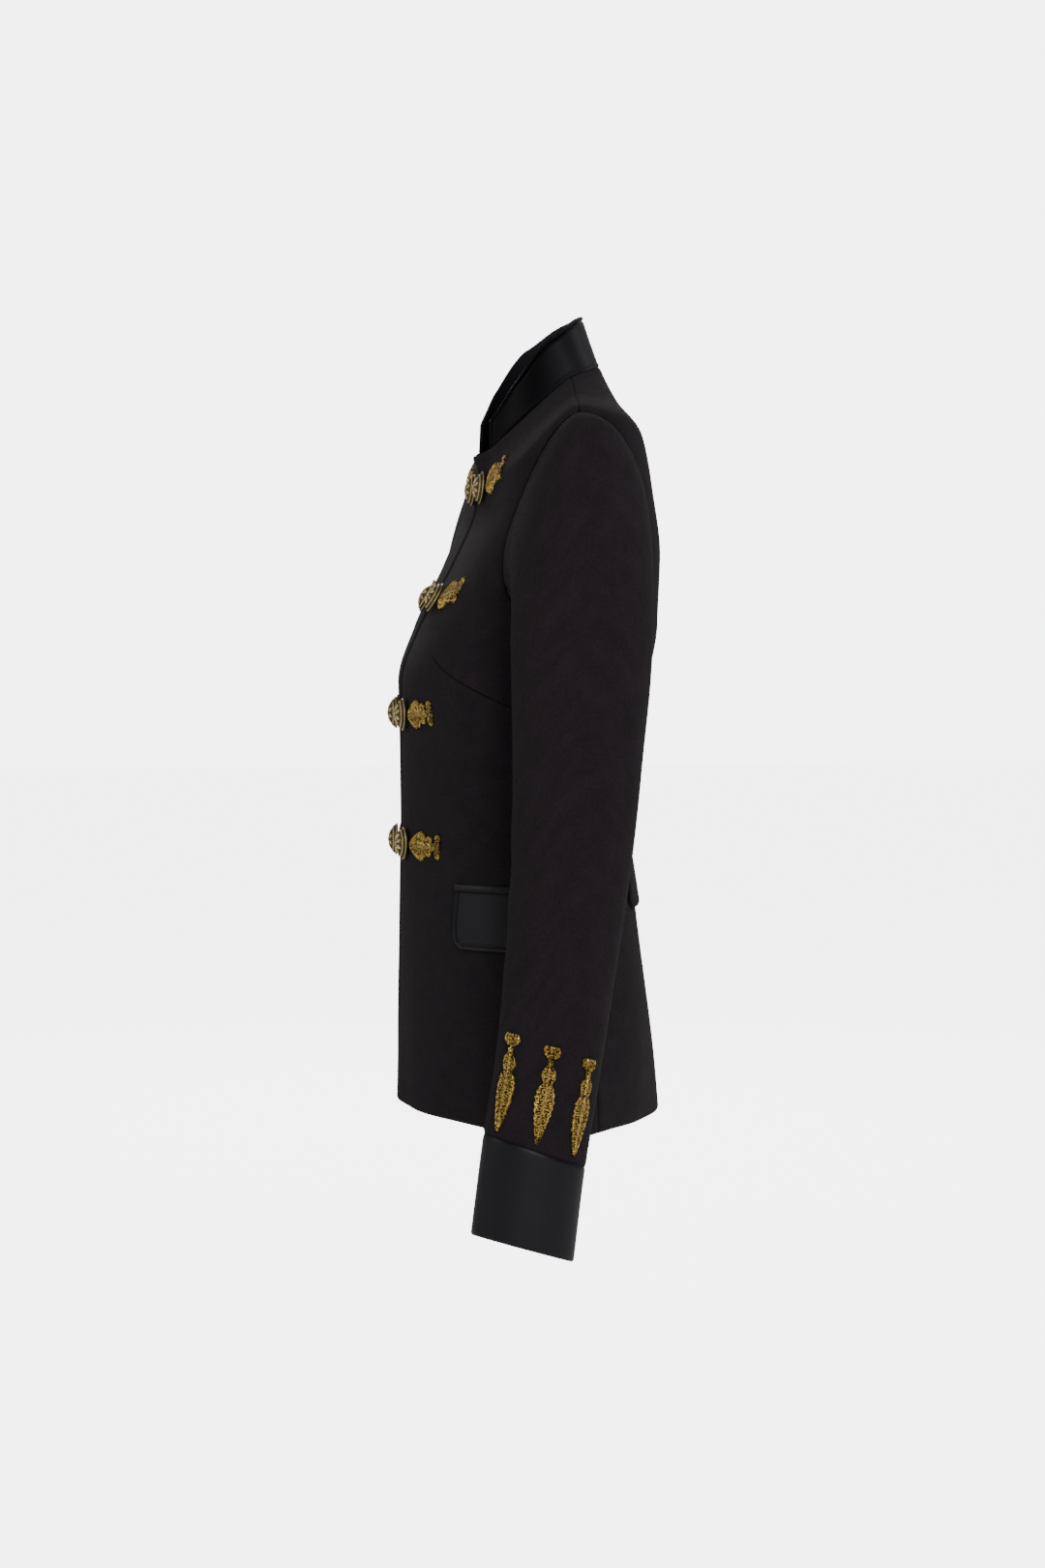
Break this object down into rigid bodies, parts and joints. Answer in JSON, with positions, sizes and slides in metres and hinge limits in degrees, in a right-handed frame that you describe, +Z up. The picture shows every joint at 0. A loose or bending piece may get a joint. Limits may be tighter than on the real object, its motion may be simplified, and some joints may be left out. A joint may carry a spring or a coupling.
{
  "type": "military blazer",
  "caption": "Fitted stand-collar blazer in dark wool with satin collar, cuffs and pocket flaps, domed buttons and gold-thread leaves, in its worn, hollow form.",
  "frame": {"origin": "between the wearer's shoulders, at the height of the back neck seam", "axes": "+Z up, fronts towards -Y, the wearer's left is +X"},
  "size_m": [0.5284, 0.2214, 0.7313],
  "materials": {
    "wool": "fine matt wool, near black",
    "satin": "dark satin with a soft sheen",
    "gold_metal": "antique gold, domed and worked",
    "gold_thread": "padded metallic thread embroidery"
  },
  "bodies": {
    "root": {"front_left": "wool", "front_right": "wool", "back_left": "wool", "back_right": "wool", "sleeve_upper_left": "wool", "sleeve_upper_right": "wool", "sleeve_under_left": "wool", "sleeve_under_right": "wool", "back_waist_edge": "wool", "back_flap": "wool", "collar": "satin", "cuff_left": "satin", "cuff_right": "satin", "pocket_welt_left": "satin", "pocket_welt_right": "satin", "pocket_flap_left": "satin", "pocket_flap_right": "satin", "button_top_left": "gold_metal", "button_top_right": "gold_metal", "button_second_left": "gold_metal", "button_second_right": "gold_metal", "button_third_left": "gold_metal", "button_third_right": "gold_metal", "button_bottom_left": "gold_metal", "button_bottom_right": "gold_metal", "frog_top_left": "gold_thread", "frog_top_right": "gold_thread", "frog_second_left": "gold_thread", "frog_second_right": "gold_thread", "frog_third_left": "gold_thread", "frog_third_right": "gold_thread", "frog_bottom_left": "gold_thread", "frog_bottom_right": "gold_thread", "cuff_leaf_front_left": "gold_thread", "cuff_leaf_front_right": "gold_thread", "cuff_leaf_middle_left": "gold_thread", "cuff_leaf_middle_right": "gold_thread", "cuff_leaf_back_left": "gold_thread", "cuff_leaf_back_right": "gold_thread"}
  },
  "joints": []
}
